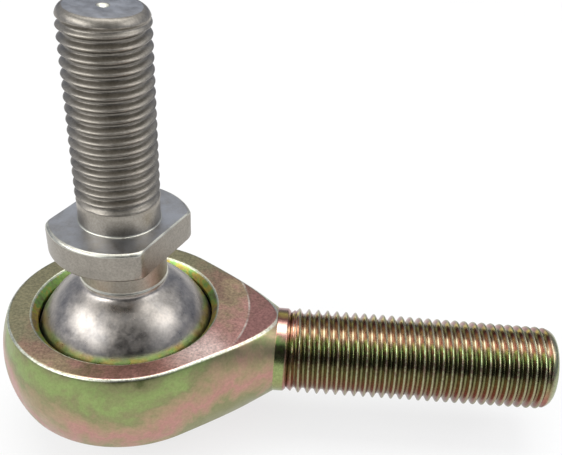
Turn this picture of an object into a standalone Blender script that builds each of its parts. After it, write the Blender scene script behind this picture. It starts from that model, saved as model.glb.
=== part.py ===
"""Studded rod end bearing: a steel eye with a threaded shank, holding a ball with a threaded stud.

The frame's origin is the ball's centre. +X runs along the shank to its threaded end, and +Z runs
along the eye's axis, out through the stud. Sizes below are in millimetres.
"""

import math

import bmesh
import bpy
from mathutils import Matrix

MM = 0.001
Z_TO_X = Matrix.Rotation(math.radians(90), 4, "Y")

# Threads: both are right-handed, 24 to the inch, with 60 degree flanks
PITCH = 25.4 / 24
THREAD_DEPTH = 0.3125 * PITCH / math.tan(math.radians(30))
THREAD_CORNERS = (1 / 16, 3 / 8, 5 / 8, 15 / 16)  # along one pitch: crest, root, root, crest
PILOT_LENGTH = 1.05 * PITCH  # the plain tip of a thread, a little over one turn long
PILOT_TAPER = math.tan(math.radians(15))
RUN_IN = math.tan(math.radians(40))  # how fast the crests rise at either end of a thread

# Eye and shank, one forging turned about X and then faced flat on both sides
EYE_RADIUS = 12.7
EYE_HALF_WIDTH = 4.7625
EYE_TAPER = math.radians(32.9)
NECK_RADIUS = 4.66
NECK_END = 17.25
NECK_CHAMFER = 0.3
SHANK_RADIUS = 9.525 / 2
SHANK_END = 48.0

# The eye's bore: a rolled-in rim at each side, and the pocket between them that holds the race
RIM_OUTER_RADIUS = 9.59
RIM_RADIUS = 8.92
RIM_DEPTH = 0.86
RIM_LAND = 0.5
POCKET_RADIUS = 10.6
POCKET_HALF_WIDTH = 3.2

# Race and ball
BALL_RADIUS = 9.4
BALL_FLAT_RADIUS = 4.35
BALL_HALF_WIDTH = math.sqrt(BALL_RADIUS**2 - BALL_FLAT_RADIUS**2)
BALL_BOSS_RADIUS = 4.15
BALL_BOSS_FILLET = 0.25
BALL_BOSS_TOP = 9.05
BALL_BORE_RADIUS = 3.1
COUNTERSINK = 0.9
RACE_GAP = 0.2
RACE_HALF_WIDTH = 3.0

# Ball stud, from the peened foot of its spigot up to its threaded end
SPIGOT_GAP = 0.1
SPIGOT_FLARE = 0.75
STUD_NECK_RADIUS = 4.3
COLLAR_BOTTOM = 12.7
COLLAR_TOP = 15.87
COLLAR_RADIUS = 6.95
COLLAR_CHAMFER = 0.35
FLATS_HALF_WIDTH = 5.3
FLATS_TURN = math.radians(-22)
STUD_RADIUS = 7.9375 / 2
STUD_PLAIN_RADIUS = 3.9
STUD_PLAIN_END = 17.8
STUD_END = 36.5
CENTRE_DRILL_RADIUS = 0.55
CENTRE_DRILL_DEPTH = 0.6

# Facets
EYE_SEGMENTS = 48
EYE_ARC_STEPS = 14
BORE_SEGMENTS = 64
BALL_SEGMENTS = 48
BALL_ARC_STEPS = 16
RACE_ARC_STEPS = 8
SHANK_SEGMENTS = 24
STUD_SEGMENTS = 20
SHARP_EDGE = math.radians(30)


def clear_scene():
    for old in list(bpy.data.objects):
        bpy.data.objects.remove(old)


def paint(target, colour, roughness, metallic):
    made = bpy.data.materials.new(target.name)
    made.use_nodes = True
    shader = made.node_tree.nodes["Principled BSDF"]
    shader.inputs["Base Color"].default_value = (*colour, 1)
    shader.inputs["Roughness"].default_value = roughness
    shader.inputs["Metallic"].default_value = metallic
    target.data.materials.append(made)


def add_object(name, points, faces):
    """An object from points in millimetres, shaded smooth except at its real edges."""
    mesh = bpy.data.meshes.new(name)
    mesh.from_pydata([[axis * MM for axis in point] for point in points], [], faces)
    mesh.shade_smooth()
    mesh.set_sharp_from_angle(angle=SHARP_EDGE)
    made = bpy.data.objects.new(name, mesh)
    bpy.context.scene.collection.objects.link(made)
    return made


def arc(radius, first, last, steps):
    """Points (distance from the axis, height) on a circle about the origin, by angle above level."""
    angles = [first + (last - first) * step / steps for step in range(steps + 1)]
    return [(radius * math.cos(angle), radius * math.sin(angle)) for angle in angles]


def add_ring(points, radius, height, segments):
    """Adds a ring about Z, or one point on the axis, to the points. Returns the ring's indices."""
    first = len(points)
    if radius < 1e-6:
        points.append((0, 0, height))
        return [first] * segments
    for step in range(segments):
        angle = 2 * math.pi * step / segments
        points.append((radius * math.cos(angle), radius * math.sin(angle), height))
    return list(range(first, first + segments))


def skin(rings):
    """Faces from each ring to the next, facing out where the rings go up the outer side."""
    faces = []
    for low, high in zip(rings, rings[1:]):
        for step, low_point in enumerate(low):
            after = (step + 1) % len(low)
            corners = (low_point, low[after], high[after], high[step])
            faces.append(list(dict.fromkeys(corners)))
    return faces


def turned(name, profile, segments):
    """A solid turned about Z. The profile goes up the outer side from the axis back to the axis, or
    it is a closed loop that goes up the outer side and down the inner one."""
    points = []
    rings = [add_ring(points, radius, height, segments) for radius, height in profile]
    if profile[0][0] > 1e-6:
        rings.append(rings[0])
    return add_object(name, points, skin(rings))


def block(name, low, high):
    """A box between two corners, in millimetres."""
    shape = bmesh.new()
    bmesh.ops.create_cube(shape, size=1)
    for corner in shape.verts:
        sides = zip(corner.co, low, high)
        corner.co = [(below if side < 0 else above) * MM for side, below, above in sides]
    mesh = bpy.data.meshes.new(name)
    shape.to_mesh(mesh)
    shape.free()
    made = bpy.data.objects.new(name, mesh)
    bpy.context.scene.collection.objects.link(made)
    return made


def combine(target, helper, operation):
    """Unites a hidden helper with the target, or cuts it away."""
    helper.display_type = "WIRE"
    helper.hide_render = True
    modifier = target.modifiers.new(helper.name, "BOOLEAN")
    modifier.operation = operation
    modifier.solver = "EXACT"
    modifier.object = helper


def thread_limit(height, crest_start, end, crest, root):
    """How far out a thread may reach at a height: no further than its root before crest_start, out
    to its crest along the rod, and down to a tapered pilot at the end."""
    pilot_start = end - PILOT_LENGTH
    if height > pilot_start:
        return root - (height - pilot_start) * PILOT_TAPER
    rising = root + max(height - crest_start, 0) * RUN_IN
    falling = root + (pilot_start - height) * RUN_IN
    return min(crest, rising, falling)


def threaded_rod(name, crest, start, crest_start, end, segments, drilled):
    """A rod about Z with one right-hand thread. Its rows of points climb one pitch in each turn, so
    a row runs on into the fourth row after it. Plain rings close the rod at both ends."""
    root = crest - THREAD_DEPTH
    turns = math.floor((end - PILOT_LENGTH - start) / PITCH)
    first_height = end - PILOT_LENGTH - turns * PITCH
    last_row = 4 * turns
    points = []

    def add_point(row, step):
        along = row // 4 + THREAD_CORNERS[row % 4] - THREAD_CORNERS[0] + step / segments
        height = first_height + along * PITCH
        corner = crest if row % 4 in (0, 3) else root
        radius = min(corner, thread_limit(height, crest_start, end, crest, root))
        angle = 2 * math.pi * step / segments
        points.append((radius * math.cos(angle), radius * math.sin(angle), height))

    def index(row, step):
        if step == segments:
            return index(row + 4, 0)
        if row > last_row:
            return (last_row + 1) * segments + row - last_row - 1
        return row * segments + step

    for row in range(last_row + 1):
        for step in range(segments):
            add_point(row, step)
    for row in range(last_row + 1, last_row + 5):
        add_point(row, 0)

    faces = []
    for row in range(last_row):
        for step in range(segments):
            above = (index(row + 1, step + 1), index(row + 1, step))
            faces.append((index(row, step), index(row, step + 1), *above))

    foot = add_ring(points, root, start, segments)
    tip = add_ring(points, root - PILOT_LENGTH * PILOT_TAPER, end, segments)
    for step in range(1, segments):
        foot_after = foot[(step + 1) % segments]
        tip_after = tip[(step + 1) % segments]
        if step < segments - 1:
            faces.append((foot[step], foot_after, index(0, step + 1), index(0, step)))
        faces.append((index(last_row, step), index(last_row, step + 1), tip_after, tip[step]))
    faces.append((foot[0], foot[1], index(0, 1), index(0, 0)))
    foot_seam = [index(row, 0) for row in range(5)]
    faces.append((foot[-1], foot[0], *foot_seam, index(0, segments - 1)))
    tip_seam = [index(row, 0) for row in range(last_row + 4, last_row - 1, -1)]
    faces.append((index(last_row, 1), tip[1], tip[0], *tip_seam))

    faces.append(foot[::-1])
    if drilled:
        mouth = add_ring(points, CENTRE_DRILL_RADIUS, end, segments)
        bottom = add_ring(points, 0, end - CENTRE_DRILL_DEPTH, segments)
        faces += skin([tip, mouth, bottom])
    else:
        faces.append(tip)
    return add_object(name, points, faces)


def rod_end_body():
    """The eye and its threaded shank in one piece, bored and relieved for the race."""
    cone_tip = EYE_RADIUS / math.sin(EYE_TAPER)
    neck_start = cone_tip - NECK_RADIUS / math.tan(EYE_TAPER)
    profile = arc(EYE_RADIUS, -math.pi / 2, EYE_TAPER, EYE_ARC_STEPS)
    profile += [
        (NECK_RADIUS, neck_start),
        (NECK_RADIUS, NECK_END),
        (NECK_RADIUS - NECK_CHAMFER, NECK_END + NECK_CHAMFER),
        (0, NECK_END + NECK_CHAMFER),
    ]
    body = turned("rod_end_body", profile, EYE_SEGMENTS)
    body.data.transform(Z_TO_X)

    crest_start = NECK_END + NECK_CHAMFER
    core_start = crest_start - 2.5 * PITCH
    shank = threaded_rod(
        "shank_blank", SHANK_RADIUS, core_start, crest_start, SHANK_END, SHANK_SEGMENTS, False
    )
    shank.data.transform(Z_TO_X)
    combine(body, shank, "UNION")

    clear = EYE_RADIUS + 2
    for side, name in ((1, "upper_facing"), (-1, "lower_facing")):
        heights = sorted((side * EYE_HALF_WIDTH, side * clear))
        facing = block(name, (-clear, -clear, heights[0]), (neck_start, clear, heights[1]))
        combine(body, facing, "DIFFERENCE")
    combine(body, bore_cutter(), "DIFFERENCE")
    paint(body, (0.42, 0.40, 0.22), 0.32, 1.0)


def bore_cutter():
    """The eye's bore as a solid: flared at both faces, narrow at the rims and wide between them."""
    beyond_face = 1.0
    flare = (RIM_OUTER_RADIUS - RIM_RADIUS) / RIM_DEPTH
    mouth_radius = RIM_OUTER_RADIUS + flare * beyond_face
    rim_top = EYE_HALF_WIDTH - RIM_DEPTH
    upper = [
        (POCKET_RADIUS, POCKET_HALF_WIDTH),
        (RIM_RADIUS, rim_top - RIM_LAND),
        (RIM_RADIUS, rim_top),
        (mouth_radius, EYE_HALF_WIDTH + beyond_face),
        (0, EYE_HALF_WIDTH + beyond_face),
    ]
    lower = [(radius, -height) for radius, height in reversed(upper)]
    return turned("bore_cutter", lower + upper, BORE_SEGMENTS)


def bearing_race():
    """The moulded race in the eye's pocket, round outside and hollowed to the ball inside."""
    outside = POCKET_RADIUS - RACE_GAP
    inside = BALL_RADIUS + RACE_GAP
    top = math.asin(RACE_HALF_WIDTH / inside)
    profile = [(outside, -RACE_HALF_WIDTH), (outside, RACE_HALF_WIDTH)]
    profile += arc(inside, top, -top, RACE_ARC_STEPS)
    race = turned("bearing_race", profile, BORE_SEGMENTS)
    paint(race, (0.02, 0.02, 0.022), 0.5, 0.0)


def ball():
    """The ball: flat and countersunk below, with a low boss above, and bored for the stud."""
    top = math.asin(BALL_HALF_WIDTH / BALL_RADIUS)
    profile = arc(BALL_RADIUS, -top, top, BALL_ARC_STEPS)
    profile += [
        (BALL_BOSS_RADIUS, BALL_HALF_WIDTH + BALL_BOSS_FILLET),
        (BALL_BOSS_RADIUS, BALL_BOSS_TOP),
        (BALL_BORE_RADIUS, BALL_BOSS_TOP),
        (BALL_BORE_RADIUS, COUNTERSINK - BALL_HALF_WIDTH),
        (BALL_BORE_RADIUS + COUNTERSINK, -BALL_HALF_WIDTH),
    ]
    made = turned("ball", profile, BALL_SEGMENTS)
    paint(made, (0.62, 0.61, 0.60), 0.22, 1.0)


def ball_stud():
    """The stud: spigot with its peened foot, neck, collar with two wrench flats, and thread."""
    spigot_radius = BALL_BORE_RADIUS - SPIGOT_GAP
    flare_top = COUNTERSINK - BALL_HALF_WIDTH
    plain_chamfer = 0.35
    profile = [
        (0, -BALL_HALF_WIDTH),
        (spigot_radius + SPIGOT_FLARE, -BALL_HALF_WIDTH),
        (spigot_radius + SPIGOT_FLARE, flare_top - SPIGOT_FLARE),
        (spigot_radius, flare_top),
        (spigot_radius, BALL_BOSS_TOP + SPIGOT_GAP),
        (STUD_NECK_RADIUS, BALL_BOSS_TOP + SPIGOT_GAP),
        (STUD_NECK_RADIUS, COLLAR_BOTTOM),
        (COLLAR_RADIUS - COLLAR_CHAMFER, COLLAR_BOTTOM),
        (COLLAR_RADIUS, COLLAR_BOTTOM + COLLAR_CHAMFER),
        (COLLAR_RADIUS, COLLAR_TOP - COLLAR_CHAMFER),
        (COLLAR_RADIUS - COLLAR_CHAMFER, COLLAR_TOP),
        (STUD_PLAIN_RADIUS, COLLAR_TOP),
        (STUD_PLAIN_RADIUS, STUD_PLAIN_END),
        (STUD_PLAIN_RADIUS - plain_chamfer, STUD_PLAIN_END + plain_chamfer),
        (0, STUD_PLAIN_END + plain_chamfer),
    ]
    stud = turned("ball_stud", profile, BALL_SEGMENTS)

    crest_start = STUD_PLAIN_END + plain_chamfer
    core_start = crest_start - 2.5 * PITCH
    thread = threaded_rod(
        "stud_thread_blank", STUD_RADIUS, core_start, crest_start, STUD_END, STUD_SEGMENTS, True
    )
    combine(stud, thread, "UNION")

    beyond = COLLAR_RADIUS + 1
    for side, name in ((0, "front_flat_cutter"), (math.pi, "back_flat_cutter")):
        low = (FLATS_HALF_WIDTH, -beyond, COLLAR_BOTTOM - 1)
        flat = block(name, low, (beyond, beyond, COLLAR_TOP + 1))
        flat.rotation_euler.z = FLATS_TURN + side
        combine(stud, flat, "DIFFERENCE")
    paint(stud, (0.34, 0.33, 0.30), 0.38, 1.0)


def main():
    clear_scene()
    rod_end_body()
    bearing_race()
    ball()
    ball_stud()


main()
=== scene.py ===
"""Looks for a studded rod end bearing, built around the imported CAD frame.

Every piece is modelled in millimetres in the frame's own axes: the origin is the ball's centre,
+X runs along the shank and +Z along the eye's axis, out through the stud.
"""

import math

import bmesh
import bpy
from mathutils import Matrix, Vector


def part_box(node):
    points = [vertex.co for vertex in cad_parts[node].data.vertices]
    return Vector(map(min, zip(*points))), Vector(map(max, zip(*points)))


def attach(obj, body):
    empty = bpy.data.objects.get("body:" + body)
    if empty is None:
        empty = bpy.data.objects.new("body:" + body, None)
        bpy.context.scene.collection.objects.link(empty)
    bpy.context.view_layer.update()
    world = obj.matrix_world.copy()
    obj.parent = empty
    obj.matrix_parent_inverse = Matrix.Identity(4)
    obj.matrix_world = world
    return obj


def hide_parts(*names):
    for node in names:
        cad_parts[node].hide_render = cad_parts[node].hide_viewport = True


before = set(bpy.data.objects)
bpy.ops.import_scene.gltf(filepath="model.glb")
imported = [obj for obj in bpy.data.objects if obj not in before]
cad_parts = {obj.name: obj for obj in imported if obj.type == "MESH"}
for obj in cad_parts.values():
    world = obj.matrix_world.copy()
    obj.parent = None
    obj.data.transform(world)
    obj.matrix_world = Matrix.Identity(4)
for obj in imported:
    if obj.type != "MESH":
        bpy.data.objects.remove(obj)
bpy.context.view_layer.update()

MM = 0.001
Z_TO_X = Matrix.Rotation(math.radians(90), 4, "Y")


def box_mm(node):
    low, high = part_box(node)
    return [axis / MM for axis in low], [axis / MM for axis in high]


BODY_LOW, BODY_HIGH = box_mm("rod_end_body")
STUD_HIGH = box_mm("ball_stud")[1]

# Threads: both are right-handed, 24 to the inch, with 60 degree flanks
PITCH = 25.4 / 24
FLANK_SLOPE = math.tan(math.radians(60))
CREST_HALF = 1 / 16  # in pitches, from the middle of the crest to the start of the flank
FLANK_SPAN = 5 / 16  # in pitches, along the axis
THREAD_DEPTH = FLANK_SPAN * PITCH * FLANK_SLOPE
CORNER_SOFTNESS = 0.05  # in pitches, how far the crest's and root's corners are rounded
ROWS_PER_PITCH = 16
RUN_IN = math.tan(math.radians(40))  # slope of a thread's first turn, where it rises from the foot
PILOT_LENGTH = 0.95  # from a tip back to where the groove is half its full depth
GROOVE_FADE = 0.9  # the length over which the groove fades in or out

# Eye and shank
EYE_RADIUS = -BODY_LOW[0]
EYE_HALF_WIDTH = BODY_HIGH[2]
EYE_TAPER = math.radians(32.9)
CONE_TIP = EYE_RADIUS / math.sin(EYE_TAPER)
EYE_EDGE = 0.29
NECK_RADIUS = 4.66
NECK_START = CONE_TIP - NECK_RADIUS / math.tan(EYE_TAPER)
NECK_END = 17.25
NECK_CHAMFER = 0.3
SHANK_RADIUS = 9.525 / 2
SHANK_END = BODY_HIGH[0]
SHANK_TIP_RADIUS = 3.8
SHANK_TIP_CHAMFER = 1.75  # length of the tapered tip
SHANK_CREST = 18.06  # distance of one crest from the ball's centre, below the axis
JOIN_RADIUS = 4.7  # of the eye's cone where the neck takes over
JOIN_X = CONE_TIP - JOIN_RADIUS / math.tan(EYE_TAPER)

# The eye's bore
RIM_OUTER_RADIUS = 9.59
RIM_RADIUS = 8.92
RIM_DEPTH = 0.86
RIM_LAND = 0.5
RIM_EDGE = 0.14
POCKET_RADIUS = 10.6
POCKET_HALF_WIDTH = 3.2

# Race and ball
BALL_RADIUS = 9.4
BALL_FLAT_RADIUS = 4.35
BALL_HALF_WIDTH = math.sqrt(BALL_RADIUS**2 - BALL_FLAT_RADIUS**2)
BALL_BOSS_RADIUS = 4.15
BALL_BOSS_TOP = 9.05
BALL_BOSS_FILLET = 4.9  # where the fillet below the boss meets the ball
BALL_FILLET_RISE = 0.3  # length of the fillet's upper arm, along the boss
BALL_BORE_RADIUS = 3.1
BALL_EDGE = 0.12
COUNTERSINK = 0.9
RACE_GAP = 0.2
RACE_HALF_WIDTH = 3.0
RACE_LIP = 0.12
RACE_LIP_ANGLE = 0.02  # how far the race's inner arc stops short of its two mouths, in radians

# Ball stud
SPIGOT_GAP = 0.1
SPIGOT_FLARE = 0.75
STUD_NECK_RADIUS = 4.3
NECK_BEAD = 0.1
COLLAR_BOTTOM = 12.7
COLLAR_TOP = 15.87
COLLAR_RADIUS = 6.95
COLLAR_CHAMFER = 0.35
COLLAR_FLAT_EDGE = 0.16
COLLAR_EDGE_SHORT = 0.22  # how far short of the sharp corner an edge's curve aims, as a share
COLLAR_CORNER = 0.1  # softness of the corners between the round and the flats
FLATS_HALF_WIDTH = 5.3
FLATS_TURN = math.radians(-22)
STUD_RADIUS = 7.9375 / 2
STUD_PLAIN_RADIUS = 3.9
STUD_PLAIN_END = 17.8
STUD_END = STUD_HIGH[2]
STUD_TIP_RADIUS = 3.2
STUD_TIP_CHAMFER = 1.2
STUD_CREST = 35.31  # height of one crest over +X
CENTRE_DRILL_RADIUS = 0.55
CENTRE_DRILL_DEPTH = 0.6

# Smoothness of the meshes
EYE_COLUMNS = 200
EYE_NEAR_COLUMNS = 20  # of them, on each side of the shank's axis, where the eye meets the neck
EYE_WALL_STEPS = 18
COLLAR_CORNER_SPAN = math.radians(6)  # on each side of a corner, where the steps are fine
COLLAR_FINE_STEP = math.radians(0.9)
COLLAR_STEP = math.radians(2.5)
BORE_SEGMENTS = 160
BALL_SEGMENTS = 128
THREAD_SEGMENTS = 96
SHARP_EDGE = math.radians(38)

FLOOR_Z = -(BALL_RADIUS + 0.2)


# ---------------------------------------------------------------------------- mesh helpers


def make_object(name, points, faces, turn=None):
    """A smooth-shaded object from points in millimetres, with doubled points welded."""
    mesh = bpy.data.meshes.new(name)
    mesh.from_pydata([[axis * MM for axis in point] for point in points], [], faces)
    shape = bmesh.new()
    shape.from_mesh(mesh)
    bmesh.ops.remove_doubles(shape, verts=shape.verts, dist=1e-7)
    bmesh.ops.dissolve_degenerate(shape, edges=shape.edges, dist=1e-8)
    bmesh.ops.recalc_face_normals(shape, faces=shape.faces)
    shape.to_mesh(mesh)
    shape.free()
    if turn:
        mesh.transform(turn)
    mesh.shade_smooth()
    mesh.set_sharp_from_angle(angle=SHARP_EDGE)
    made = bpy.data.objects.new(name, mesh)
    bpy.context.scene.collection.objects.link(made)
    return made


def add_weighted_normals(piece):
    modifier = piece.modifiers.new("weighted_normals", "WEIGHTED_NORMAL")
    modifier.keep_sharp = True


def bezier(first, corner, last, steps):
    """Points on a quadratic curve that rounds off a corner, both ends included."""
    curve = []
    for step in range(steps + 1):
        t = step / steps
        a, b, c = (1 - t) ** 2, 2 * t * (1 - t), t * t
        curve.append(tuple(a * p + b * q + c * r for p, q, r in zip(first, corner, last)))
    return curve


def rounded(path, radii, steps=4):
    """The path with each inner corner rounded by its own setback (0 keeps it sharp)."""
    result = [path[0]]
    for before, corner, after, setback in zip(path, path[1:], path[2:], radii):
        if not setback:
            result.append(corner)
            continue
        ends = []
        for other in (before, after):
            away = Vector(other) - Vector(corner)
            reach = min(setback, away.length * 0.45)
            ends.append(tuple(Vector(corner) + away.normalized() * reach))
        result += bezier(ends[0], corner, ends[1], steps)
    result.append(path[-1])
    return result


def arc(radius, first, last, steps):
    """Points (distance from the axis, height) on a circle about the origin."""
    angles = [first + (last - first) * step / steps for step in range(steps + 1)]
    return [(radius * math.cos(angle), radius * math.sin(angle)) for angle in angles]


def grid_faces(columns, rows, index, wrap_rows):
    """Quads between neighbouring columns, all the way round."""
    faces = []
    last = rows if wrap_rows else rows - 1
    for column in range(columns):
        after = (column + 1) % columns
        for row in range(last):
            above = (row + 1) % rows
            faces.append(
                (index(column, row), index(after, row), index(after, above), index(column, above))
            )
    return faces


def turned(name, profile, segments, turn=None, closed=False):
    """A solid turned about Z from a profile of (radius, height)."""
    points = []
    for segment in range(segments):
        angle = 2 * math.pi * segment / segments
        cosine, sine = math.cos(angle), math.sin(angle)
        points += [(radius * cosine, radius * sine, height) for radius, height in profile]
    rows = len(profile)
    faces = grid_faces(segments, rows, lambda column, row: column * rows + row, closed)
    return make_object(name, points, faces, turn)


# ---------------------------------------------------------------------------- threads


def thread_reach(phase):
    """How deep the groove is at a phase of the pitch, from 0 at the crest to 1 at the root."""
    from_crest = min(phase % 1, 1 - phase % 1)
    total = 0
    for shift in (-CORNER_SOFTNESS, 0, CORNER_SOFTNESS):
        flank = (from_crest + shift - CREST_HALF) / FLANK_SPAN
        total += min(max(flank, 0), 1)
    return total / 3


def threaded_rod(name, crest, start, end, taper, crest_at, foot, tip, turn=None):
    """A rod about Z with one right-hand thread from start to end, rounded off over its last part.
    crest is the thread's radius, taper the length of the rounded part, and crest_at the height of
    a crest over +X. foot and tip are profiles of (radius, height) that close the rod below and
    above; their first points meet the thread's ends."""
    tip_radius = tip[0][0]
    chamfer_start = end - taper
    first_row = start - (1 + (start - crest_at) / PITCH % 1) * PITCH

    def radius_at(height, phase):
        rising = foot[0][0] + (height - start) * RUN_IN
        fade_in = (height - start) / GROOVE_FADE
        fade_out = (end - PILOT_LENGTH - height) / GROOVE_FADE + 0.5
        depth = THREAD_DEPTH * min(max(min(fade_in, fade_out), 0), 1)
        tapering = crest
        if height > chamfer_start:
            share = min((height - chamfer_start) / (end - chamfer_start), 1)
            tapering = tip_radius + (crest - tip_radius) * math.sqrt(1 - share**2)
        return min(crest - depth * thread_reach(phase), rising, tapering)

    turns = math.ceil((end - start) / PITCH) + 2
    rows = turns * ROWS_PER_PITCH + 1
    points = []
    for row in range(rows):
        for segment in range(THREAD_SEGMENTS):
            share = segment / THREAD_SEGMENTS
            raw = first_row + (row / ROWS_PER_PITCH + share) * PITCH
            height = min(max(raw, start), end)
            phase = (height - first_row) / PITCH - share
            radius = radius_at(height, phase)
            angle = 2 * math.pi * share
            points.append((radius * math.cos(angle), radius * math.sin(angle), height))

    def index(row, segment):
        if segment == THREAD_SEGMENTS:
            return index(min(row + ROWS_PER_PITCH, rows - 1), 0)
        return row * THREAD_SEGMENTS + segment

    faces = []
    for row in range(rows - 1):
        for segment in range(THREAD_SEGMENTS):
            after = segment + 1
            lower = (index(row, segment), index(row, after))
            faces.append((*lower, index(row + 1, after), index(row + 1, segment)))

    for profile, joins in ((foot, 0), (tip, (rows - 1) * THREAD_SEGMENTS)):
        previous = [joins + segment for segment in range(THREAD_SEGMENTS)]
        for radius, height in profile:
            ring = []
            for segment in range(THREAD_SEGMENTS):
                angle = 2 * math.pi * segment / THREAD_SEGMENTS
                ring.append(len(points))
                points.append((radius * math.cos(angle), radius * math.sin(angle), height))
            for segment in range(THREAD_SEGMENTS):
                after = (segment + 1) % THREAD_SEGMENTS
                faces.append((previous[segment], previous[after], ring[after], ring[segment]))
            previous = ring
    return make_object(name, points, faces, turn)


# ---------------------------------------------------------------------------- the eye and shank


def cone_distance(angle, height):
    """How far the tapered part of the eye reaches from Z at an angle about Z and a height."""
    slope = math.tan(EYE_TAPER) ** 2
    square = math.sin(angle) ** 2 - math.cos(angle) ** 2 * slope
    linear = 2 * CONE_TIP * math.cos(angle) * slope
    constant = CONE_TIP**2 * slope - height**2
    return 2 * constant / (linear + math.sqrt(max(linear**2 + 4 * square * constant, 0)))


def wall_distance(angle, height):
    """How far the eye's outside reaches from Z: a sphere, then a cone tangent to it."""
    on_sphere = math.sqrt(EYE_RADIUS**2 - height**2)
    if on_sphere * math.cos(angle) <= EYE_RADIUS * math.sin(EYE_TAPER):
        return on_sphere
    return cone_distance(angle, height)


def bore_path():
    """The bore's section, from its middle up to the eye's face."""
    rim_top = EYE_HALF_WIDTH - RIM_DEPTH
    path = [
        (POCKET_RADIUS, 0),
        (POCKET_RADIUS, POCKET_HALF_WIDTH),
        (RIM_RADIUS, rim_top - RIM_LAND),
        (RIM_RADIUS, rim_top),
        (RIM_OUTER_RADIUS, EYE_HALF_WIDTH),
        (RIM_OUTER_RADIUS + 0.5, EYE_HALF_WIDTH),
    ]
    return rounded(path, (0, 0.1, 0.1, RIM_EDGE))


def eye_column(angle):
    """The eye's section at one angle about Z, upper half, from the bore out and down to the
    middle or to the plane where the neck takes over."""
    join_square = JOIN_RADIUS**2 - (JOIN_X * math.tan(angle)) ** 2
    ahead = math.cos(angle) > 0
    middle = math.sqrt(join_square) if ahead and join_square > 0 else 0
    edge = wall_distance(angle, EYE_HALF_WIDTH)
    fillet_end = max(EYE_HALF_WIDTH - EYE_EDGE, middle)
    first = (edge - EYE_EDGE, EYE_HALF_WIDTH)
    last = (wall_distance(angle, fillet_end), fillet_end)
    column = bore_path()
    start = column[-1][0]
    flat_end = first[0] - 0.06  # a narrow band keeps the edge's curve off the flat face
    for share in (0.35, 0.7, 0.9):
        column.append((start + (flat_end - start) * share, EYE_HALF_WIDTH))
    column.append((flat_end, EYE_HALF_WIDTH))
    column += bezier(first, (edge, EYE_HALF_WIDTH), last, 6)
    for step in range(1, EYE_WALL_STEPS + 1):
        height = fillet_end + (middle - fillet_end) * step / EYE_WALL_STEPS
        column.append((wall_distance(angle, height), height))
    return column


def eye():
    """The eye as a fan of sections about Z, dense where it tapers to the neck."""
    join_angle = math.atan(JOIN_RADIUS / JOIN_X)
    count = EYE_NEAR_COLUMNS
    near = [join_angle * math.sin(math.pi / 2 * step / count) for step in range(-count, count)]
    rest = EYE_COLUMNS - len(near)
    span = 2 * (math.pi - join_angle)
    angles = near + [join_angle + span * step / rest for step in range(rest)]
    points = []
    for angle in angles:
        upper = eye_column(angle)
        lower = [(distance, -height) for distance, height in upper[:0:-1]]
        for distance, height in upper + lower:
            points.append((distance * math.cos(angle), distance * math.sin(angle), height))
    rows = len(points) // len(angles)
    faces = grid_faces(len(angles), rows, lambda column, row: column * rows + row, True)
    return make_object("eye", points, faces)


def shank():
    """The neck and the threaded shank, turned about X. The neck's end is hidden in the eye."""
    root = SHANK_RADIUS - THREAD_DEPTH
    thread_start = NECK_END + NECK_CHAMFER
    neck = [
        (root, thread_start),
        (NECK_RADIUS - NECK_CHAMFER, thread_start),
        (NECK_RADIUS, NECK_END),
        (NECK_RADIUS, NECK_START),
        (JOIN_RADIUS, JOIN_X),
        (JOIN_RADIUS - 0.4, JOIN_X - 0.2),
        (0, JOIN_X - 0.4),
    ]
    foot = rounded(neck, (0.04, 0.1, 0.08, 0, 0, 0))
    tip = rounded(
        [(SHANK_TIP_RADIUS, SHANK_END), (SHANK_TIP_RADIUS - 0.15, SHANK_END), (0, SHANK_END)], (0,)
    )
    return threaded_rod(
        "shank",
        SHANK_RADIUS,
        thread_start,
        SHANK_END,
        SHANK_TIP_CHAMFER,
        SHANK_CREST,
        foot,
        tip,
        Z_TO_X,
    )


# ---------------------------------------------------------------------------- race, ball, stud


def race():
    """The ring between the ball and the pocket. It has small round lips."""
    outside = POCKET_RADIUS - RACE_GAP
    inside = BALL_RADIUS + RACE_GAP
    low, high, lip = -RACE_HALF_WIDTH, RACE_HALF_WIDTH, RACE_LIP
    top = math.asin(high / inside)
    mouth = inside * math.cos(top)
    profile = arc(inside, top - RACE_LIP_ANGLE, RACE_LIP_ANGLE - top, 16)
    profile += bezier((mouth, low + lip), (mouth, low), (mouth + lip, low), 3)
    profile += bezier((outside - lip, low), (outside, low), (outside, low + lip), 3)
    profile += bezier((outside, high - lip), (outside, high), (outside - lip, high), 3)
    profile += bezier((mouth + lip, high), (mouth, high), (mouth, high - lip), 3)
    return turned("race", profile, BORE_SEGMENTS, closed=True)


def ball():
    """The ball, with a low boss above, joined to it by a fillet, and a countersink below."""
    bottom = math.asin(BALL_HALF_WIDTH / BALL_RADIUS)
    top = math.acos(BALL_BOSS_FILLET / BALL_RADIUS)
    surface = arc(BALL_RADIUS, BALL_EDGE / BALL_RADIUS - bottom, top, 72)
    lower = bezier(
        (BALL_FLAT_RADIUS - BALL_EDGE, -BALL_HALF_WIDTH),
        (BALL_FLAT_RADIUS, -BALL_HALF_WIDTH),
        surface[0],
        4,
    )
    meets = surface[-1][1]
    rise = (BALL_BOSS_FILLET - BALL_BOSS_RADIUS) * BALL_BOSS_FILLET / meets
    corner = (BALL_BOSS_RADIUS, meets + rise)
    fillet = bezier(surface[-1], corner, (BALL_BOSS_RADIUS, meets + rise + BALL_FILLET_RISE), 6)
    profile = lower + surface[1:-1] + fillet
    profile += [
        (BALL_BOSS_RADIUS, BALL_BOSS_TOP),
        (BALL_BORE_RADIUS, BALL_BOSS_TOP),
        (BALL_BORE_RADIUS, COUNTERSINK - BALL_HALF_WIDTH),
        (BALL_BORE_RADIUS + COUNTERSINK, -BALL_HALF_WIDTH),
    ]
    return turned("ball_shell", profile, BALL_SEGMENTS, closed=True)


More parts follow.
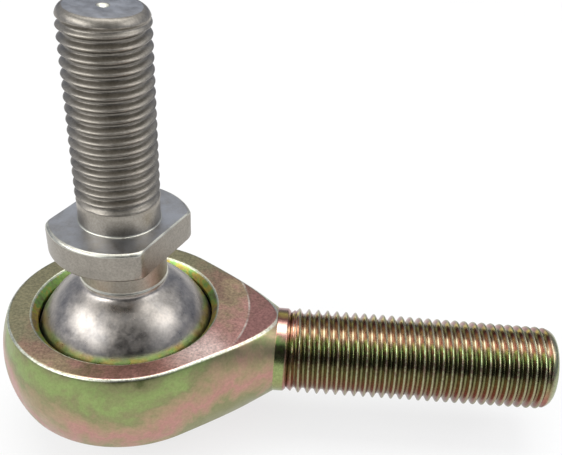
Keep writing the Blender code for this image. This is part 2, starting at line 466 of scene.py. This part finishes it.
def stud_foot():
    """The peened spigot and the neck below the collar, with a small bead at the neck's foot. Its
    top is hidden in the collar."""
    spigot = BALL_BORE_RADIUS - SPIGOT_GAP
    flare_top = COUNTERSINK - BALL_HALF_WIDTH
    seat = BALL_BOSS_TOP + SPIGOT_GAP
    bead = STUD_NECK_RADIUS + NECK_BEAD
    path = [
        (0, -BALL_HALF_WIDTH),
        (spigot + SPIGOT_FLARE, -BALL_HALF_WIDTH),
        (spigot + SPIGOT_FLARE, flare_top - SPIGOT_FLARE),
        (spigot, flare_top),
        (spigot, seat),
        (bead, seat),
        (bead, seat + NECK_BEAD),
        (STUD_NECK_RADIUS, seat + 3 * NECK_BEAD),
        (STUD_NECK_RADIUS, COLLAR_BOTTOM),
        (STUD_NECK_RADIUS + 0.6, COLLAR_BOTTOM),
        (STUD_NECK_RADIUS + 0.6, COLLAR_BOTTOM + 0.8),
        (0, COLLAR_BOTTOM + 0.8),
    ]
    softness = (0.06, 0, 0, 0, 0.05, 0.05, 0.1, 0.3, 0, 0)
    return turned("stud_foot", rounded(path, softness), BALL_SEGMENTS)


def collar_angles():
    """Angles about Z, closer together at each corner where a flat meets the round."""
    corner = math.acos(FLATS_HALF_WIDTH / COLLAR_RADIUS)
    edge = COLLAR_CORNER_SPAN
    stops = []
    for centre in (0, math.pi):
        for side in (-corner, corner):
            stops += [centre + side - edge, centre + side + edge]
    stops.append(stops[0] + 2 * math.pi)
    angles = []
    for first, last in zip(stops, stops[1:]):
        at_corner = last - first < 2.1 * edge
        steps = math.ceil((last - first) / (COLLAR_FINE_STEP if at_corner else COLLAR_STEP))
        angles += [first + (last - first) * step / steps for step in range(steps)]
    return [angle + FLATS_TURN for angle in angles]


def collar_reach(angle):
    """How far the collar reaches from Z: round, cut by the flats, with softened corners."""
    to_flat = FLATS_HALF_WIDTH / max(abs(math.cos(angle - FLATS_TURN)), 0.1)
    round_share = math.exp(-COLLAR_RADIUS / COLLAR_CORNER)
    flat_share = math.exp(-to_flat / COLLAR_CORNER)
    return -COLLAR_CORNER * math.log(round_share + flat_share)


def collar_edge(reach, top, direction):
    """The rounded edge of the collar: a wide one on the round part, a small one on the flats."""
    round_edge = COLLAR_RADIUS - COLLAR_CHAMFER
    share = min(max((reach - round_edge) / COLLAR_CHAMFER, 0), 1)
    drop = COLLAR_FLAT_EDGE + (COLLAR_CHAMFER - COLLAR_FLAT_EDGE) * share
    first = (reach - drop, top)
    last = (reach, top - direction * drop)
    middle = (reach - drop * COLLAR_EDGE_SHORT, top - direction * drop * COLLAR_EDGE_SHORT)
    return bezier(first, middle, last, 4)


def collar():
    """The collar with its two wrench flats, a ring whose inner side is hidden in the stud."""
    points = []
    angles = collar_angles()
    for angle in angles:
        reach = collar_reach(angle)
        upper = collar_edge(reach, COLLAR_TOP, 1)
        lower = collar_edge(reach, COLLAR_BOTTOM, -1)
        inner = STUD_PLAIN_RADIUS - 0.5
        column = [(inner, COLLAR_BOTTOM), (lower[0][0] - 0.05, COLLAR_BOTTOM)] + lower
        column += upper[::-1] + [(upper[0][0] - 0.05, COLLAR_TOP)]
        column += [(STUD_PLAIN_RADIUS + 0.35, COLLAR_TOP), (inner, COLLAR_TOP)]
        for distance, height in column:
            points.append((distance * math.cos(angle), distance * math.sin(angle), height))
    rows = len(points) // len(angles)
    faces = grid_faces(len(angles), rows, lambda column, row: column * rows + row, True)
    return make_object("collar", points, faces)


def stud_thread():
    """The plain section and the thread above the collar, with a centre-drilled end. Its bottom is
    hidden in the collar."""
    thread_start = STUD_PLAIN_END + 0.35
    base = [
        (STUD_PLAIN_RADIUS - 0.06, thread_start),
        (STUD_PLAIN_RADIUS, STUD_PLAIN_END),
        (STUD_PLAIN_RADIUS, COLLAR_TOP - 0.01),
        (STUD_PLAIN_RADIUS + 0.5, COLLAR_TOP - 0.06),
        (STUD_PLAIN_RADIUS + 0.5, COLLAR_TOP - 0.3),
        (0, COLLAR_TOP - 0.3),
    ]
    foot = rounded(base, (0.1, 0.22, 0, 0))
    drilled = [
        (STUD_TIP_RADIUS, STUD_END),
        (CENTRE_DRILL_RADIUS, STUD_END),
        (0, STUD_END - CENTRE_DRILL_DEPTH),
    ]
    tip = rounded(drilled, (0.08,))
    return threaded_rod(
        "stud_thread", STUD_RADIUS, thread_start, STUD_END, STUD_TIP_CHAMFER, STUD_CREST, foot, tip
    )


# ---------------------------------------------------------------------------- materials


WIDE = (0.25, 0.75)  # noise values between which a surface goes from one look to the other
NARROW = (0.3, 0.7)  # the same, with more of the surface at either end


class Nodes:
    """Short ways to add and link shader nodes in one tree."""

    def __init__(self, owner):
        owner.use_nodes = True
        self.tree = owner.node_tree

    def plug(self, socket, value):
        if isinstance(value, bpy.types.NodeSocket):
            self.tree.links.new(value, socket)
        elif isinstance(value, tuple) and len(value) == 3 and socket.type == "RGBA":
            socket.default_value = (*value, 1)
        else:
            socket.default_value = value

    def vector(self, operation, first, second=None, scale=None):
        node = self.tree.nodes.new("ShaderNodeVectorMath")
        node.operation = operation
        self.plug(node.inputs[0], first)
        if second is not None:
            self.plug(node.inputs[1], second)
        if scale is not None:
            self.plug(node.inputs["Scale"], scale)
        return node.outputs["Value" if operation in ("LENGTH", "DOT_PRODUCT") else "Vector"]

    def split(self, value):
        node = self.tree.nodes.new("ShaderNodeSeparateXYZ")
        self.plug(node.inputs[0], value)
        return node.outputs["X"], node.outputs["Y"], node.outputs["Z"]

    def join(self, x, y, z):
        node = self.tree.nodes.new("ShaderNodeCombineXYZ")
        for socket, value in zip(node.inputs, (x, y, z)):
            self.plug(socket, value)
        return node.outputs[0]

    def calc(self, operation, first, second=0.0):
        node = self.tree.nodes.new("ShaderNodeMath")
        node.operation = operation
        self.plug(node.inputs[0], first)
        self.plug(node.inputs[1], second)
        return node.outputs[0]

    def times(self, first, second):
        return self.calc("MULTIPLY", first, second)

    def plus(self, first, second):
        return self.calc("ADD", first, second)

    def minus(self, first, second):
        return self.calc("SUBTRACT", first, second)

    def between(self, value, first, second):
        """1 between two ranges, rising over the first and falling over the second."""
        return self.times(self.ease(value, *first), self.ease(value, *second, 1.0, 0.0))

    def ease(self, value, start, end, low=0.0, high=1.0):
        """low before start, high after end, and a smooth step between them."""
        node = self.tree.nodes.new("ShaderNodeMapRange")
        node.interpolation_type = "SMOOTHSTEP"
        self.plug(node.inputs["Value"], value)
        sockets = ("From Min", "From Max", "To Min", "To Max")
        for socket, number in zip(sockets, (start, end, low, high)):
            node.inputs[socket].default_value = number
        return node.outputs["Result"]

    def ramp(self, value, stops):
        node = self.tree.nodes.new("ShaderNodeValToRGB")
        ends = node.color_ramp.elements
        while len(ends) < len(stops):
            ends.new(0.5)
        for element, (position, colour) in zip(ends, stops):
            element.position = position
            element.color = (*colour, 1)
        self.plug(node.inputs[0], value)
        return node.outputs["Color"]

    def mix(self, share, first, second):
        node = self.tree.nodes.new("ShaderNodeMix")
        node.data_type = "RGBA"
        self.plug(node.inputs["Factor"], share)
        self.plug(node.inputs["A"], first)
        self.plug(node.inputs["B"], second)
        return node.outputs["Result"]

    def tint(self, colour, value):
        """The colour multiplied by a number."""
        return self.vector("SCALE", colour, scale=value)


class Surface(Nodes):
    """A material on a Principled shader, with places in millimetres."""

    def __init__(self, name):
        self.material = bpy.data.materials.new(name)
        super().__init__(self.material)
        self.shader = self.tree.nodes["Principled BSDF"]
        coordinates = self.tree.nodes.new("ShaderNodeTexCoord")
        self.place = self.vector("SCALE", coordinates.outputs["Object"], scale=1 / MM)
        self.normal = coordinates.outputs["Normal"]

    def noise(self, per_mm, detail=3.0, roughness=0.55, place=None, distortion=0.0):
        node = self.tree.nodes.new("ShaderNodeTexNoise")
        self.plug(node.inputs["Vector"], place or self.place)
        node.inputs["Scale"].default_value = per_mm
        node.inputs["Detail"].default_value = detail
        node.inputs["Roughness"].default_value = roughness
        node.inputs["Distortion"].default_value = distortion
        return node.outputs["Fac"]

    def bump(self, height, strength, depth_mm, below=None):
        node = self.tree.nodes.new("ShaderNodeBump")
        node.inputs["Strength"].default_value = strength
        node.inputs["Distance"].default_value = depth_mm * MM
        self.plug(node.inputs["Height"], height)
        if below:
            self.plug(node.inputs["Normal"], below)
        return node.outputs["Normal"]

    def finish(self, colour, metallic, roughness, normal):
        self.plug(self.shader.inputs["Base Color"], colour)
        self.plug(self.shader.inputs["Roughness"], roughness)
        self.plug(self.shader.inputs["Normal"], normal)
        self.shader.inputs["Metallic"].default_value = metallic
        return self.material


def srgb(red, green, blue):
    """A colour from 0-255 values as linear light."""
    linear = []
    for part in (red, green, blue):
        part /= 255
        linear.append(part / 12.92 if part < 0.04045 else ((part + 0.055) / 1.055) ** 2.4)
    return tuple(linear)


OLIVE = srgb(142, 142, 102)
MOSS = srgb(146, 140, 110)
GREEN = srgb(146, 164, 104)
LEAF = srgb(150, 196, 110)
DEEP_GREEN = srgb(98, 106, 68)
SAGE = srgb(158, 168, 134)
PINK = srgb(186, 140, 130)
ROSE = srgb(160, 106, 92)
TAN = srgb(168, 148, 118)
BROWN = srgb(152, 124, 106)
MAROON = srgb(112, 74, 68)
UMBER = srgb(116, 92, 84)
PLUM = srgb(138, 98, 94)
GOLD = srgb(206, 186, 96)
CREAM = srgb(236, 226, 196)
PALE = srgb(226, 226, 212)
SHEEN_BLUSH = srgb(240, 214, 204)
COOL = srgb(176, 180, 188)
FACE_SHEEN = (8.6, -6.6, 0.0)  # the middle of a painted sheen, a pale patch on the eye's face
FACE_SHEEN_REACH = (0.8, 4.6)  # distances from its middle between which it fades out
FACE_LINE = 12.95  # radius of a faint turned line on the eye's face
SHANK_ROOT_SHADE_FADE = (4.2, 4.36)  # radii between which the painted shade in the roots fades out
SHANK_CREST_HIGHLIGHT_FADE = (4.5, 4.74)  # radii between which the painted highlight on the crests fades in
STUD_GROOVE_FADE = (3.4, 3.9)  # radii between which the grooves' shade fades out
COLLAR_SIDE_FADE = (4.6, 5.0)  # radii between which the collar's shade fades in
COLLAR_RIM = ((15.4, 15.55), (15.95, 16.1))  # heights between which the rim's painted highlight and wear come and go
NECK_FOOT_RIM = ((9.0, 9.1), (9.5, 9.6))  # the same at the neck's foot
# film colours and painted reflections by which way the shank faces round X: LEAF, PINK and CREAM
# from 0.636 to 0.725 are a painted highlight row, the MAROON and DEEP_GREEN bands are painted dark
# reflections
FILM_AND_REFLECTIONS_BY_FACING = (
    (0.0, OLIVE),
    (0.14, PINK),
    (0.26, OLIVE),
    (0.36, MAROON),
    (0.45, ROSE),
    (0.53, OLIVE),
    (0.6, DEEP_GREEN),
    (0.636, LEAF),
    (0.662, PINK),
    (0.695, CREAM),
    (0.725, PINK),
    (0.745, MAROON),
    (0.772, GOLD),
    (0.8, PLUM),
    (0.88, PINK),
    (0.94, GREEN),
)
FILM_ON_WALL = (
    (0.0, OLIVE),
    (0.1, TAN),
    (0.25, PINK),
    (0.42, TAN),
    (0.56, OLIVE),
    (0.7, GREEN),
    (0.88, OLIVE),
    (1.0, DEEP_GREEN),
)


def film_on_thread(made):
    """Bands of film colour and painted reflections along the shank, by which way the surface faces
    round X:
    a painted highlight row and painted dark bands. The crests carry a painted highlight and the
    roots painted shade; flanks on the side towards the tip are browner. The neck's lower side is
    greener."""
    x, y, z = made.split(made.place)
    normal_x, normal_y, normal_z = made.split(made.normal)
    facing = made.calc("ARCTAN2", normal_z, made.times(normal_y, -1.0))
    share = made.plus(made.times(facing, 0.5 / math.pi), 0.5)  # 0.5 faces -Y, 0.75 faces up
    wander = made.minus(made.noise(0.35, 2), 0.5)
    share = made.plus(share, made.times(wander, 0.06))
    share = made.plus(share, made.times(normal_x, 0.012))
    # painted reflections: the highlight row and the dark bands come from this ramp
    colour = made.ramp(share, FILM_AND_REFLECTIONS_BY_FACING)
    colour = made.mix(made.ease(normal_x, -0.1, 0.5, 0.0, 0.55), colour, ROSE)

    from_axis = made.vector("LENGTH", made.join(0.0, y, z))
    # painted highlight: the crests are paler (SAGE)
    crest = made.ease(from_axis, *SHANK_CREST_HIGHLIGHT_FADE)
    past_neck = made.ease(x, NECK_END + 0.15, NECK_END + 0.35)
    colour = made.mix(made.times(made.times(crest, past_neck), 0.6), colour, SAGE)
    # painted dark reflection: a band just below the highlight row, darkened in specks with UMBER
    painted_dark_band = made.between(share, (0.52, 0.56), (0.62, 0.65))
    speck = made.ease(made.noise(2.6, 2), 0.4, 0.6, 0.1, 0.8)
    colour = made.mix(made.times(painted_dark_band, speck), colour, UMBER)
    neck = made.ease(x, NECK_END - 0.15, NECK_END + 0.05, 0.75, 0.0)
    below = made.ease(share, 0.56, 0.62, 1.0, 0.0)
    colour = made.mix(made.times(neck, below), colour, GREEN)
    # painted shade: the roots are darker (DEEP_GREEN)
    root = made.ease(from_axis, *SHANK_ROOT_SHADE_FADE, 0.6, 0.0)
    colour = made.mix(made.times(root, past_neck), colour, DEEP_GREEN)
    tip = made.ease(x, SHANK_END - 1.3, SHANK_END - 0.7)
    tip = made.times(tip, made.ease(normal_x, 0.2, 0.5))
    return made.mix(made.times(tip, 0.8), colour, SAGE)


def film_on_wall(made):
    """The eye's outside: green under the upper edge, pinker lower down and towards both ends."""
    x, _, z = made.split(made.place)
    drift = made.minus(made.noise(0.16, 5, 0.66, distortion=0.6), 0.5)
    patches = made.minus(made.noise(0.42, 3, 0.6, distortion=0.4), 0.5)
    drift = made.plus(drift, made.times(patches, 0.45))
    level = made.times(z, 0.08)
    left = made.ease(x, -12.5, -6.0, -0.34, 0.0)
    right = made.ease(x, 4.0, 11.0, 0.0, -0.36)
    film = made.plus(made.plus(level, left), made.plus(right, 0.52))
    return made.ramp(made.plus(film, made.times(drift, 0.95)), FILM_ON_WALL)


def film_on_face(made, mottle):
    """The eye's faces: moss and brown film, pinker towards the shank's near side where a painted
    highlight lies, with a painted sheen (a pale patch) and one turned line, beyond which they are
    plum."""
    x, y, _ = made.split(made.place)
    flat_place = made.join(x, y, 0.0)
    # the film's own moss, brown and tan, turning pink towards the shank's near side where a painted
    # highlight lies
    lean = made.minus(made.times(x, 0.65), made.times(y, 0.75))
    lean = made.plus(lean, made.times(made.minus(mottle, 0.5), 14.0))
    near = made.ease(lean, -4.0, 10.0)
    colour = made.ramp(near, ((0.0, MOSS), (0.35, BROWN), (0.7, TAN), (1.0, PINK)))
    # painted sheen: a pale pink patch on the face
    from_sheen = made.vector("LENGTH", made.vector("SUBTRACT", flat_place, FACE_SHEEN))
    painted_sheen = made.ease(from_sheen, *FACE_SHEEN_REACH, 1.0, 0.0)
    colour = made.mix(made.times(painted_sheen, made.ease(mottle, 0.3, 0.6, 0.5, 0.9)), colour, SHEEN_BLUSH)
    from_axis = made.vector("LENGTH", flat_place)
    beyond = made.ease(from_axis, FACE_LINE - 0.1, FACE_LINE + 0.1, 0.0, 0.7)
    colour = made.mix(beyond, colour, PLUM)
    rise = (FACE_LINE - 0.15, FACE_LINE - 0.03)
    line = made.between(from_axis, rise, (FACE_LINE + 0.03, FACE_LINE + 0.17))
    return made.mix(made.times(line, made.ease(mottle, 0.35, 0.6, 0.05, 0.5)), colour, PALE)


def chromate(name, threaded):
    """Yellow chromate on zinc: an iridescent film that drifts between green, pink and gold. On the
    threaded shank it is smoother."""
    made = Surface(name)
    cloud = made.noise(0.5, 4, 0.65)
    grain = made.noise(3.4, 3, 0.75)
    if threaded:
        colour = film_on_thread(made)
        shade = made.ease(grain, *WIDE, 0.82, 1.16)
        roughness = made.ease(cloud, *NARROW, 0.2, 0.3)
        relief = made.bump(grain, 0.12, 0.01)
        return made.finish(made.tint(colour, shade), 1.0, roughness, relief)

    x, y, z = made.split(made.place)
    upright = made.calc("ABSOLUTE", made.split(made.normal)[2])
    height = made.calc("ABSOLUTE", z)
    from_axis = made.vector("LENGTH", made.join(x, y, 0.0))
    flat = made.ease(upright, 0.93, 0.985)
    colour = made.mix(flat, film_on_wall(made), film_on_face(made, cloud))
    in_bore = made.ease(from_axis, RIM_OUTER_RADIUS - 0.09, RIM_OUTER_RADIUS + 0.09, 1.0, 0.0)
    bore = made.ramp(cloud, ((0.36, OLIVE), (0.48, LEAF), (0.56, GOLD), (0.66, TAN)))
    colour = made.mix(in_bore, colour, bore)
    # the rounded edge of each face is paler in grainy spots: wear, with a painted highlight along
    # it
    near_face = made.ease(height, EYE_HALF_WIDTH - 0.24, EYE_HALF_WIDTH - 0.1)
    slanted = made.ease(upright, 0.93, 0.99, 1.0, 0.0)
    wear_and_highlight = made.times(made.times(near_face, slanted), made.ease(grain, 0.25, 0.65, 0.35, 0.9))
    colour = made.mix(wear_and_highlight, colour, PALE)
    grainy = made.ease(grain, *WIDE, 0.7, 1.34)
    plain = made.ease(grain, *WIDE, 0.9, 1.1)
    shade = made.plus(made.times(grainy, flat), made.times(plain, made.minus(1.0, flat)))
    roughness = made.ease(cloud, *NARROW, 0.3, 0.42)
    rings = made.noise(1.0, 2, 0.6, made.join(made.times(from_axis, 5.0), 0.0, 0.0))
    relief = made.bump(grain, 0.16, 0.014)
    relief = made.bump(made.times(rings, flat), 0.1, 0.03, relief)
    relief = made.bump(made.noise(0.8, 2), 0.08, 0.05, relief)
    return made.finish(made.tint(colour, shade), 1.0, roughness, relief)


def turned_steel(name, colour, rough, lines_per_mm):
    """Machined steel with a soft mottle, and fine lines round Z below the thread. The collar's rim
    and the neck's foot carry painted highlights with wear, faces that look up a painted blue-grey
    reflection, and the centre drilling is brighter. The thread, above all its grooves, and the
    collar's side are darker."""
    made = Surface(name)
    x, y, z = made.split(made.place)
    normal_z = made.split(made.normal)[2]
    upright = made.calc("ABSOLUTE", normal_z)
    from_axis = made.vector("LENGTH", made.join(x, y, 0.0))
    cloud = made.noise(0.55, 4, 0.7)
    grain = made.noise(5.0, 2, 0.6)
    around = made.join(made.times(x, 0.15), 0.0, made.times(z, lines_per_mm))
    below_thread = made.ease(z, STUD_PLAIN_END - 0.2, STUD_PLAIN_END + 0.4, 1.0, 0.0)
    streaks = made.times(made.noise(1.0, 2, 0.6, around), below_thread)

    on_thread = made.ease(z, STUD_PLAIN_END + 0.1, STUD_PLAIN_END + 0.6)
    in_groove = made.times(made.ease(from_axis, *STUD_GROOVE_FADE, 0.22, 0.0), on_thread)
    sideways = made.ease(upright, 0.1, 0.3, 0.16, 0.0)
    on_side = made.times(sideways, made.ease(from_axis, *COLLAR_SIDE_FADE))
    shade = made.minus(made.ease(cloud, *WIDE, 0.86, 1.1), made.times(on_thread, 0.1))
    shade = made.minus(shade, made.plus(in_groove, on_side))
    surface = made.tint(colour, made.times(shade, made.ease(grain, *WIDE, 0.86, 1.12)))

    # the rounded edges at the collar's rim and the neck's foot are paler: painted highlights, with
    # wear
    slanted = made.between(normal_z, (0.12, 0.3), (0.93, 0.99))
    edges = made.plus(made.between(z, *COLLAR_RIM), made.between(z, *NECK_FOOT_RIM))
    wear_and_highlight = made.times(made.times(slanted, edges), made.ease(cloud, 0.3, 0.65, 0.35, 0.85))
    surface = made.mix(wear_and_highlight, surface, PALE)
    # painted reflection: faces that look up are paler and blue-grey (COOL)
    face = made.times(made.ease(normal_z, 0.97, 0.995), made.ease(cloud, *NARROW, 0.35, 0.75))
    surface = made.mix(face, surface, COOL)
    rim = (CENTRE_DRILL_RADIUS - 0.05, CENTRE_DRILL_RADIUS + 0.01)
    near_end = made.ease(z, STUD_END - 1.5, STUD_END - 1.0)
    surface = made.mix(made.times(made.ease(from_axis, *rim, 0.85, 0.0), near_end), surface, PALE)

    roughness = made.ease(cloud, 0.3, 0.75, rough - 0.06, rough + 0.07)
    roughness = made.plus(roughness, made.times(on_thread, 0.06))
    relief = made.bump(streaks, 0.12, 0.01)
    relief = made.bump(grain, 0.1, 0.01, relief)
    return made.finish(surface, 1.0, roughness, relief)


BALL_CLOUDS = ((0.3, srgb(150, 146, 142)), (0.5, srgb(180, 173, 165)), (0.72, srgb(163, 158, 153)))
RACE_SPECKLE = ((0.35, (0.010, 0.010, 0.011)), (0.7, (0.028, 0.028, 0.030)))


def satin_ball(name):
    """A satin plating with soft clouds, some of them smoother than others."""
    made = Surface(name)
    cloud = made.noise(0.36, 3, 0.6, distortion=0.3)
    patches = made.noise(0.9, 3, 0.65)
    grain = made.noise(4.0, 2, 0.6)
    colour = made.ramp(cloud, BALL_CLOUDS)
    shade = made.times(made.ease(grain, *WIDE, 0.88, 1.12), made.ease(patches, *NARROW, 0.86, 1.1))
    roughness = made.ease(patches, *NARROW, 0.27, 0.4)
    relief = made.bump(made.noise(0.5, 1), 0.1, 0.06)
    return made.finish(made.tint(colour, shade), 1.0, roughness, relief)


def moulded_race(name):
    """Nearly black nylon with a fine speckle."""
    made = Surface(name)
    speckle = made.noise(5.0, 3, 0.7)
    colour = made.ramp(speckle, RACE_SPECKLE)
    roughness = made.ease(speckle, *NARROW, 0.38, 0.56)
    return made.finish(colour, 0.0, roughness, made.bump(speckle, 0.3, 0.02))


# ---------------------------------------------------------------------------- assembly


def fit(piece, material, body, slot, *nodes):
    piece.data.materials.append(material)
    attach(piece, body)
    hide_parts(*nodes)


plating = chromate("body_chromate", False)
thread_plating = chromate("thread_chromate", True)
steel = turned_steel("stud_steel_turned", srgb(164, 158, 148), 0.37, 22.0)

eye_piece = eye()
add_weighted_normals(eye_piece)
fit(eye_piece, plating, "housing", "body_plating", "rod_end_body")
fit(shank(), thread_plating, "housing", "body_plating", "rod_end_body")
fit(race(), moulded_race("race_moulding"), "race", "race_nylon", "bearing_race")
fit(ball(), satin_ball("ball_satin"), "ball", "ball_plating", "ball")
collar_piece = collar()
add_weighted_normals(collar_piece)
fit(collar_piece, steel, "stud", "stud_steel", "ball_stud")
fit(stud_foot(), steel, "stud", "stud_steel", "ball_stud")
fit(stud_thread(), steel, "stud", "stud_steel", "ball_stud")


# ---------------------------------------------------------------------------- studio


FLOOR_SIZE = 4000.0
FLOOR_TONES = ((0.3, (0.20, 0.20, 0.20)), (0.7, (0.24, 0.24, 0.24)))
FLOOR_GLOW = 0.74  # the floor is a light table, so that shadows on it stay pale
LIGHT_DISTANCE = 420.0
ROOM_BY_HEIGHT = (
    (0.0, (0.22, 0.25, 0.33)),
    (0.3, (0.27, 0.3, 0.38)),
    (0.54, (0.6, 0.62, 0.66)),
    (1.0, (0.7, 0.7, 0.7)),
)
DIM_DIRECTION = (0.185, -0.872, 0.454)
DIM_RANGE = (0.76, 0.93)  # cosines of the angle to it between which the room grows dim
DIM_STRENGTH = 0.08
BACKDROP_COLOUR = (0.86, 0.87, 0.88)


def floor():
    half = FLOOR_SIZE / 2
    sides = ((-half, -half), (half, -half), (half, half), (-half, half))
    made = make_object("floor", [(x, y, FLOOR_Z) for x, y in sides], [(0, 1, 2, 3)])
    paper = Surface("floor_paper")
    tone = paper.ramp(paper.noise(0.02, 2), FLOOR_TONES)
    relief = paper.bump(paper.noise(1.5, 2), 0.02, 0.02)
    made.data.materials.append(paper.finish(tone, 0.0, 0.9, relief))
    paper.shader.inputs["Emission Color"].default_value = (1, 1, 1, 1)
    paper.shader.inputs["Emission Strength"].default_value = FLOOR_GLOW


def soft_light(name, azimuth, elevation, size, watts):
    """A rectangular soft light that faces the ball's centre. Azimuth 0 is +X, 90 is +Y."""
    light = bpy.data.lights.new(name, "AREA")
    light.shape = "RECTANGLE"
    light.size, light.size_y = (side * MM for side in size)
    light.energy = watts
    made = bpy.data.objects.new(name, light)
    around, above = math.radians(azimuth), math.radians(elevation)
    flat = math.cos(above)
    away = Vector((flat * math.cos(around), flat * math.sin(around), math.sin(above)))
    made.location = away * LIGHT_DISTANCE * MM
    made.rotation_euler = away.to_track_quat("Z", "Y").to_euler()
    made.visible_camera = False
    bpy.context.scene.collection.objects.link(made)


def studio_world():
    """The room that the metal reflects: blue-grey low down, paler overhead, and dim round one
    direction on the -Y side. The background that is seen past the floor is plain and pale."""
    world = bpy.data.worlds.new("studio")
    room = Nodes(world)
    nodes = room.tree.nodes
    direction = nodes.new("ShaderNodeTexCoord").outputs["Generated"]
    reflected = nodes["Background"]
    towards_dim = room.vector("DOT_PRODUCT", direction, DIM_DIRECTION)
    room.plug(reflected.inputs["Color"], room.ramp(room.split(direction)[2], ROOM_BY_HEIGHT))
    room.plug(reflected.inputs["Strength"], room.ease(towards_dim, *DIM_RANGE, 1.0, DIM_STRENGTH))
    backdrop = nodes.new("ShaderNodeBackground")
    room.plug(backdrop.inputs["Color"], BACKDROP_COLOUR)
    either = nodes.new("ShaderNodeMixShader")
    room.plug(either.inputs[0], nodes.new("ShaderNodeLightPath").outputs["Is Camera Ray"])
    room.plug(either.inputs[1], reflected.outputs[0])
    room.plug(either.inputs[2], backdrop.outputs[0])
    room.plug(nodes["World Output"].inputs["Surface"], either.outputs[0])
    bpy.context.scene.world = world


CAMERA_PLACE = (17.93, -66.52, 58.5)
CAMERA_AZIMUTH = math.radians(-97.34)
CAMERA_ELEVATION = math.radians(36.14)
CAMERA_ROLL = math.radians(9.02)
CAMERA_LENS = 49.53
CAMERA_SHIFT = (-0.1711, 0.1094)
CAMERA_SENSOR = 36.0
CAMERA_CLIP = (0.001, 10.0)  # in metres


def camera_axes():
    """The camera's right, up and backward directions."""
    level = math.cos(CAMERA_ELEVATION)
    cosine, sine = math.cos(CAMERA_AZIMUTH), math.sin(CAMERA_AZIMUTH)
    back = Vector((level * cosine, level * sine, math.sin(CAMERA_ELEVATION)))
    level_right = Vector((-sine, cosine, 0))
    right = Matrix.Rotation(CAMERA_ROLL, 3, back) @ level_right
    return right, back.cross(right), back


def camera():
    data = bpy.data.cameras.new("camera")
    data.sensor_width = CAMERA_SENSOR
    data.lens = CAMERA_LENS
    data.shift_x, data.shift_y = CAMERA_SHIFT
    data.clip_start, data.clip_end = CAMERA_CLIP
    made = bpy.data.objects.new("camera", data)
    axes = Matrix(camera_axes()).transposed().to_4x4()
    made.matrix_world = Matrix.Translation([axis * MM for axis in CAMERA_PLACE]) @ axes
    bpy.context.scene.collection.objects.link(made)
    bpy.context.scene.camera = made


floor()
soft_light("left_softbox", azimuth=-146, elevation=37, size=(400, 150), watts=0.8)
soft_light("right_softbox", azimuth=-6, elevation=41, size=(210, 170), watts=0.3)
soft_light("top_softbox", azimuth=90, elevation=79, size=(420, 240), watts=1.0)
studio_world()
camera()
bpy.context.scene.view_settings.view_transform = "Standard"
